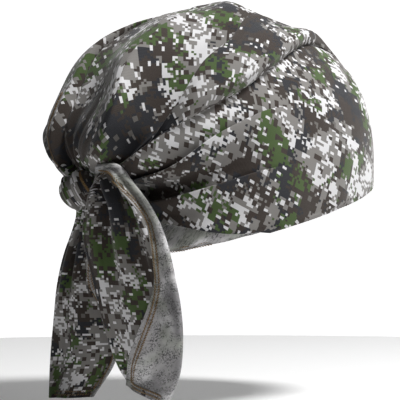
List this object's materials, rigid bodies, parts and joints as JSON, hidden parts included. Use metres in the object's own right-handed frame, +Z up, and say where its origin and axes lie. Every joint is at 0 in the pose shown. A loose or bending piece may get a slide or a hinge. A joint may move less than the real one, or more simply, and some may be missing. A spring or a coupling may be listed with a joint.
{
  "type": "camouflage face mask",
  "caption": "Stretch-cloth camouflage face mask tied as a head wrap, knotted at the back with two hanging tails.",
  "frame": {"origin": "centre of the head opening, in the plane of the hem", "axes": "+Z up, -Y the way the wearer looks, -X the wearer's right"},
  "size_m": [0.1646, 0.2371, 0.2603],
  "materials": {
    "cloth_print": "knit polyester, printed side",
    "cloth_reverse": "knit polyester, pale reverse side with the print showing through",
    "thread": "tan coverstitch thread"
  },
  "bodies": {
    "cap": {"crown_cloth": "cloth_print", "lining_cloth": "cloth_reverse", "nape_lining": "cloth_reverse", "brow_fold": "cloth_print", "right_tie_gather": "cloth_print", "left_tie_gather": "cloth_print", "left_back_fold": "cloth_print", "knot_core": "cloth_print", "knot_wrap": "cloth_print", "knot_seam_stitch": "thread", "hem_corner": "cloth_reverse", "nape_hem_stitch": "thread", "back_fold_stitch": "thread"},
    "right_root": {"right_tail_root": "cloth_print"},
    "right_upper": {"right_tail_upper": "cloth_print", "right_tail_roll_upper": "cloth_reverse", "right_hem_stitch_upper": "thread"},
    "right_lower": {"right_tail_lower": "cloth_print", "right_tail_roll_lower": "cloth_reverse", "right_hem_stitch_lower": "thread", "right_end_stitch": "thread"},
    "left_root": {"left_tail_root": "cloth_print"},
    "left_upper": {"left_tail_upper": "cloth_print", "left_hem_stitch_upper": "thread"},
    "left_lower": {"left_tail_lower": "cloth_print", "left_hem_stitch_lower": "thread", "left_end_stitch": "thread"}
  },
  "joints": [
    {"name": "right_sway", "type": "hinge", "parent": "cap", "child": "right_root", "pos_m": [-0.02229, 0.12179, 0.02], "axis": [-0.4695, 0.8829, 0], "range_deg": [0, 15]},
    {"name": "right_lift", "type": "hinge", "parent": "right_root", "child": "right_upper", "pos_m": [-0.0554, 0.10419, -0.002], "axis": [0.8829, 0.4695, 0], "range_deg": [0, 60]},
    {"name": "right_curl", "type": "hinge", "parent": "right_upper", "child": "right_lower", "pos_m": [-0.0554, 0.10419, -0.054], "axis": [0.8829, 0.4695, 0], "range_deg": [-20, 45]},
    {"name": "left_sway", "type": "hinge", "parent": "cap", "child": "left_root", "pos_m": [0.01873, 0.10962, 0.012], "axis": [0.4695, -0.8829, 0], "range_deg": [0, 25]},
    {"name": "left_lift", "type": "hinge", "parent": "left_root", "child": "left_upper", "pos_m": [0.01696, 0.10868, -0.01], "axis": [0.8829, 0.4695, 0], "range_deg": [0, 60]},
    {"name": "left_curl", "type": "hinge", "parent": "left_upper", "child": "left_lower", "pos_m": [0.02049, 0.11056, -0.064], "axis": [0.8829, 0.4695, 0], "range_deg": [-20, 45]}
  ]
}
